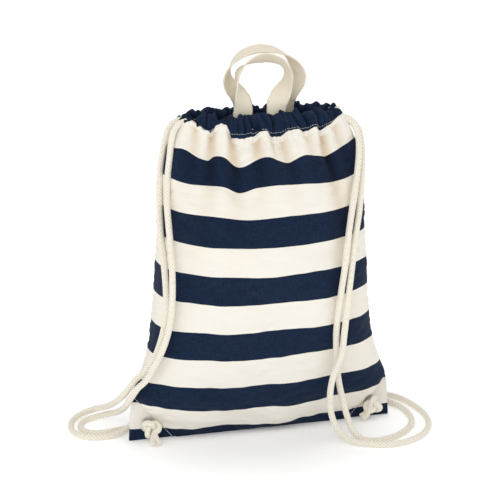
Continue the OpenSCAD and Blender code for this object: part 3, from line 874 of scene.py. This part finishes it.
def strap(name, side):
    """A handle with both its sewn ends: one length of webbing."""
    spec = HANDLE[side]
    t = np.linspace(0, 1, 220)
    free = handle_point(t, **spec)
    high = free[:, 2] / spec["top"]
    free = free + np.stack([spec["x"] + spec["drift"] * high,
                            HINGE_Y[side] + spec["tilt"] * high ** 2, HINGE_Z + 0 * t], -1)
    turn = np.radians(hermite(*zip(*HANDLE_TURNS[side]), np.minimum(t, 1 - t)))
    line = np.array(SEWN_LINE[side], float)[1:]
    ends = np.stack([0 * line[:, 0], SEAM_Y + side * line[:, 0], line[:, 1]], 1)
    low = smooth_path(ends[::-1], 1.5)
    left = low + [spec["x"] - spec["half"], 0, 0]
    right = low[::-1] + [spec["x"] + spec["half"], 0, 0]
    path = np.vstack([left, free[1:-1], right])
    turns = np.concatenate([np.zeros(len(left)), turn[1:-1], np.zeros(len(right))])
    # soften the joint between the sewn ends and the loop
    for _ in range(14):
        path[1:-1] = path[1:-1] * 0.5 + (path[:-2] + path[2:]) * 0.25
    along = unit(np.gradient(path, axis=0))
    flat = unit(np.cross(np.array([0.0, 1.0, 0.0])[None], along) + 1e-9)
    flip = np.sign((flat * np.stack([along[:, 2], 0 * turns, -along[:, 0]], 1)).sum(1))[:, None]
    flat = flat * np.where(flip == 0, 1, flip)
    wide = unit(np.cos(turns)[:, None] * flat
                + np.sin(turns)[:, None] * np.array([0.0, 1.0, 0.0])[None])
    face = unit(np.cross(along, wide))
    # section: flat webbing with rounded, slightly thicker selvedges
    n = 25
    q = np.linspace(-1, 1, n)
    half_t = WEBBING_T / 2 * (1 - 0.16 * (1 - np.abs(q) ** 6)) * np.sqrt(
        np.clip(1 - np.abs(q) ** 26, 0, 1))
    ring_w = np.concatenate([q, q[::-1][1:-1]]) * WEBBING_W / 2
    ring_t = np.concatenate([half_t, -half_t[::-1][1:-1]])
    run = run_along(path)
    cup = 0.9 * np.sin(run / 23.0)[:, None] * (1 - (ring_w / (WEBBING_W / 2)) ** 2)[None]
    edge = 0.25 * noise(run[:, None], ring_w[None] * 0, 9, 90 + side) * (
        np.abs(ring_w)[None] > WEBBING_W / 2 - 1)
    rings = (path[:, None] + (ring_w[None] + edge)[..., None] * wide[:, None]
             + (ring_t[None] + cup)[..., None] * face[:, None])
    verts, faces = sweep(rings)
    across = np.repeat(ring_w[None], len(path), 0)
    up = np.repeat(run[:, None], len(ring_w), 1)
    obj = piece(name, verts, faces, WEBBING, {
        "across": np.concatenate([across.ravel(), [0, 0]]),
        "up": np.concatenate([up.ravel(), [0, run[-1]]])})
    return obj


for label, side in (("front", -1), ("back", 1)):
    webbing = strap(f"{label}_strap", side)
    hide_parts(f"{label}_handle", f"{label}_handle_ends")
    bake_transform(webbing)
    # the square of thread that holds each end, on the cloth and on the webbing
    grid = front_points if side < 0 else back_points
    runs = []
    for x in (HANDLE[side]["x"] - HANDLE[side]["half"], HANDLE[side]["x"] + HANDLE[side]["half"]):
        u0 = x * 1.55
        corners = [(-10, 404), (10, 404), (10, 424), (-10, 424), (-10, 404)]
        for (du, s0), (dv, s1) in zip(corners[:-1], corners[1:]):
            share = np.linspace(0, 1, 12)
            runs.append(on_cloth(grid, side, u0 + du * 1.4 + (dv - du) * 1.4 * share,
                                 s0 + (s1 - s0) * share, 0.55))
    box_thread = thread(f"{label}_handle_thread", runs, 0.24, THREAD_CREAM)
    stand_in(box_thread, "sack", "thread", f"{label}_handle_stitching")


# ---------------------------------------------------------------- seams and corners
def seam_strip(name, side_x, node_name):
    """The folded seam allowance inside one side."""
    s = np.linspace(66, 432, 90)
    x = profile(s, 1)
    z = profile(s, 4) + profile(s, 5)
    wave = 0.5 * noise(s, s * 0, 17, 33)
    rings = []
    for xi, zi, w in zip(x, z, wave):
        outer, inner = side_x * (xi - 3.0), side_x * (xi - 10.5)
        rings.append([(outer, SEAM_Y - 0.6, zi), (outer, SEAM_Y + 0.6, zi),
                      (inner, SEAM_Y + 0.6 + w, zi), (inner, SEAM_Y - 0.6 + w, zi)])
    verts, faces = sweep(np.array(rings, float))
    if side_x < 0:
        faces = [tuple(reversed(f)) for f in faces]
    up = np.repeat(s[:, None], 4, 1)
    obj = piece(name, verts, faces, CANVAS, {
        "across": np.concatenate([np.tile([0.0, 0.5, 8.0, 8.5], len(s)), [0, 0]]),
        "up": np.concatenate([up.ravel(), [66, 432]]), "crease": np.zeros(len(verts))}, False)
    stand_in(obj, "sack", "canvas_navy", node_name)


def corner_patch(name, side_x, node_name):
    """The reinforcing patches between the two layers of a flat corner."""
    outline = np.array([(118, 1.0), (172.5, 1.0), (173.6, 2.5), (172.6, 25), (169.5, 60),
                        (167, 60)])
    depth = [SEAM_Y - 0.7, SEAM_Y + 0.7]
    angle = np.linspace(0, 2 * np.pi, 33)[:-1]
    hole = np.stack([EYELET_X + HOLE_R * np.cos(angle), EYELET_Z + HOLE_R * np.sin(angle)], 1)
    # the outline resampled to the hole's points, as a ring of quads
    closed = np.vstack([outline, outline[:1]])
    run = run_along(closed)
    at = np.linspace(0, run[-1], 257)[:-1]
    rim = np.stack([np.interp(at, run, closed[:, 0]), np.interp(at, run, closed[:, 1])], 1)
    rim_angle = np.arctan2(rim[:, 1] - EYELET_Z, rim[:, 0] - EYELET_X)
    pick = [rim[np.argmin(np.abs(np.angle(np.exp(1j * (rim_angle - a)))))] for a in angle]
    pick = np.array(pick)
    for corner in outline:
        near = int(np.argmin(np.linalg.norm(pick - corner, axis=1)))
        pick[near] = corner
    n = len(angle)
    verts = [(side_x * x, y, z) for y in depth for ring in (pick, hole) for x, z in ring]
    faces = []
    for k in range(n):
        j = (k + 1) % n
        faces += [(k, j, n + j, n + k), (2 * n + j, 2 * n + k, 3 * n + k, 3 * n + j),
                  (k, 2 * n + k, 2 * n + j, j), (n + j, 3 * n + j, 3 * n + k, n + k)]
    if side_x < 0:
        faces = [tuple(reversed(f)) for f in faces]
    v = np.array(verts)
    obj = piece(name, v, faces, CANVAS, {"across": v[:, 0], "up": 30 + v[:, 2] * 0.3,
                                         "crease": np.zeros(len(v))}, False)
    stand_in(obj, "sack", "canvas", node_name)


for label, side_x in (("left", -1), ("right", 1)):
    seam_strip(f"{label}_seam_allowance", side_x, f"{label}_side_seam")
    corner_patch(f"{label}_corner_patch", side_x, f"{label}_corner")

# the bottom seam: a narrow fold between the two layers, flat on the floor
x = np.linspace(-114, 114, 120)
wave = 0.4 * noise(x, x * 0, 26, 35)
rings = np.stack([np.stack([x, SEAM_Y - 4 + wave, 0 * x + 0.5], 1),
                  np.stack([x, SEAM_Y + 4 + wave, 0 * x + 0.5], 1),
                  np.stack([x, SEAM_Y + 4 + wave, 0 * x + 2.2], 1),
                  np.stack([x, SEAM_Y - 4 + wave, 0 * x + 2.2], 1)], 1)
verts, faces = sweep(rings)
bottom = piece("bottom_fold", verts, faces, CANVAS, {
    "across": verts[:, 0], "up": np.full(len(verts), 5.0), "crease": np.zeros(len(verts))}, False)
stand_in(bottom, "sack", "canvas_navy", "bottom_seam")


# ---------------------------------------------------------------- cords
def channel_cord(name, side_x, starts, node_name):
    """The cord inside the channel: along the front, round the far end, and back."""
    shift = 5.2 if side_x < 0 else -5.2
    angle = np.radians(np.linspace(24, 156, 12))
    lines = []
    for side in (-1, 1):
        mid, up, _, _, _ = channel_frame(angle, side)
        lines.append(mid + shift * up)
    turn = [[102.0, SEAM_Y + 3.0, 411.0 + (3 if side_x < 0 else -6)]]
    loop = np.vstack([lines[0], turn, lines[1][::-1]])
    if side_x > 0:
        loop[:, 0] *= -1
    points = np.vstack([[starts[0]], loop, [starts[1]]])
    obj, _ = rope(name, points, CORD_D / 2 - 0.9, ROPE)     # squeezed by the gathers
    stand_in(obj, "sack", "cord", node_name)


channel_cord("left_channel_cord", -1, (LEFT_FRONT[0], LEFT_BACK[0]), "left_cord_in_channel")
channel_cord("right_channel_cord", 1, (RIGHT_FRONT[0], RIGHT_BACK[0]), "right_cord_in_channel")


KNOT_SIZE, KNOT_STRAND_R, KNOT_SPREAD = 3.35, 3.5, 2.6


def knot_path(side_x, spread):
    """One strand of the overhand knot: through the eyelet, round the knot, out as a tail."""
    ex, ey, ez = side_x * EYELET_X, SEAM_Y, EYELET_Z
    cx, cy, cz = ex + side_x * -0.5, ey - 14.0, ez - 1.0
    t = np.linspace(0.32, 2 * np.pi - 0.32, 22)
    a = np.sin(t) + 2 * np.sin(2 * t)
    b = np.cos(t) - 2 * np.cos(2 * t)
    c = -np.sin(3 * t)
    tilt = math.radians(20 if side_x < 0 else -70)
    x = cx + side_x * KNOT_SIZE * (a * math.cos(tilt) - b * math.sin(tilt))
    z = cz + KNOT_SIZE * (a * math.sin(tilt) + b * math.cos(tilt))
    y = cy - 4.2 * c
    loop = np.stack([x, y, z], 1)
    in_hole = ex + 0.82 * spread
    entry = np.array([(in_hole, ey + 24, ez), (in_hole, ey + 8, ez), (in_hole, ey - 3, ez)])
    if side_x < 0:
        tail = np.array([(ex + 2 + spread, ey - 25, 8), (ex + 3 + 1.8 * spread, ey - 33, 4.0)])
    else:
        tail = np.array([(ex - 11, ey - 18 + spread, 10), (ex - 19, ey - 20 + 1.6 * spread, 5.5)])
    return np.vstack([entry, loop, tail])


knots = {}
for label, side_x in (("left", -1), ("right", 1)):
    strands = []
    for k, spread in enumerate((-KNOT_SPREAD, KNOT_SPREAD)):
        strand, _ = rope(f"{label}_knot_{k}", knot_path(side_x, spread), KNOT_STRAND_R, ROPE,
                         step=0.6, soft_ends=1.5)
        strands.append(strand)
    knots[label] = join(f"{label}_overhand_knot", strands)
    stand_in(knots[label], f"{label}_knot", "cord", f"{label}_knot")

for label, points, spot in (("left_cord_front", LEFT_FRONT, "left"),
                            ("left_cord_back", LEFT_BACK, "left"),
                            ("right_cord_front", RIGHT_FRONT, "right"),
                            ("right_cord_back", RIGHT_BACK, "right")):
    obj, path = rope(f"{label}_rope", points, CORD_D / 2, ROPE)
    stand_in(obj, "sack", "cord", label)

for obj, side_name, extra in ((front_cloth, "front", front_ruffle),
                              (back_cloth, "back", back_ruffle)):
    stand_in(obj, "sack", "canvas", f"{side_name}_panel")
    stand_in(extra, "sack", "canvas_navy", f"{side_name}_channel")

for name in ("left_eyelet", "right_eyelet", "left_eyelet_washer", "right_eyelet_washer"):
    mesh = cad_nodes[name].data
    mesh.materials.clear()
    mesh.materials.append(METAL)


# ---------------------------------------------------------------- floor, light, camera
def floor_material():
    m, tree, shader = new_material("pale_floor")
    where = node(tree, "ShaderNodeNewGeometry").outputs["Position"]
    tone = fabric_noise(tree, where, 3.0, 2.0)
    tree.links.new(mix_colour(tree, tone, (0.93, 0.935, 0.94), (0.95, 0.95, 0.95)),
                   shader.inputs["Base Color"])
    shader.inputs["Roughness"].default_value = 0.55
    shader.inputs["Specular IOR Level"].default_value = 0.2
    # painted glow: the floor gives off white light of its own
    shader.inputs["Emission Color"].default_value = (1, 1, 1, 1)
    # painted glow and painted shadow: the floor glows, less near the sack, which paints a soft
    # shadow round it, and more away from it, so that it runs into pure white
    away = node(tree, "ShaderNodeVectorMath", operation="LENGTH")
    tree.links.new(where, away.inputs[0])
    glow = node(tree, "ShaderNodeMapRange", interpolation_type="SMOOTHSTEP")
    for key, value in (("From Min", 0.06), ("From Max", 0.42), ("To Min", 0.13), ("To Max", 0.45)):
        glow.inputs[key].default_value = value
    tree.links.new(away.outputs["Value"], glow.inputs["Value"])
    tree.links.new(glow.outputs[0], shader.inputs["Emission Strength"])
    return m


floor = piece("floor", [(x * FLOOR_HALF, y * FLOOR_HALF, 0)
                        for x, y in ((-1, -1), (1, -1), (1, 1), (-1, 1))],
              [(0, 1, 2, 3)], floor_material())


def area_light(name, place, target, size, power):
    data = bpy.data.lights.new(name, "AREA")
    data.shape, data.size, data.size_y = "RECTANGLE", size[0], size[1]
    data.energy = power
    obj = bpy.data.objects.new(name, data)
    bpy.context.scene.collection.objects.link(obj)
    obj.location = place
    look_at(obj, target)


def look_at(obj, target):
    away = Vector(obj.location) - Vector(target)
    obj.rotation_mode = "QUATERNION"
    obj.rotation_quaternion = away.to_track_quat("Z", "Y")


area_light("key", (-1.6, -2.2, 2.4), (0, 0, 0.2), (2.2, 2.2), 33)
area_light("fill", (2.4, -1.6, 1.6), (0, 0, 0.2), (2.0, 2.0), 8)
area_light("top", (0.2, 0.5, 3.2), (0, 0, 0.1), (3.0, 3.0), 20)

world = bpy.data.worlds.new("studio")
world.use_nodes = True
world.node_tree.nodes["Background"].inputs[0].default_value = (1, 1, 1, 1)
world.node_tree.nodes["Background"].inputs[1].default_value = 0.60
bpy.context.scene.world = world
bpy.context.scene.view_settings.view_transform = "Standard"

camera_data = bpy.data.cameras.new("camera")
camera_data.sensor_width = 36.0
camera_data.lens = 149.8
camera_data.clip_start, camera_data.clip_end = 0.1, 60.0
camera = bpy.data.objects.new("camera", camera_data)
bpy.context.scene.collection.objects.link(camera)
camera.location = (-0.7510, -2.4276, 0.9400)
look_at(camera, (-0.0144, -0.0040, 0.2390))
bpy.context.scene.camera = camera
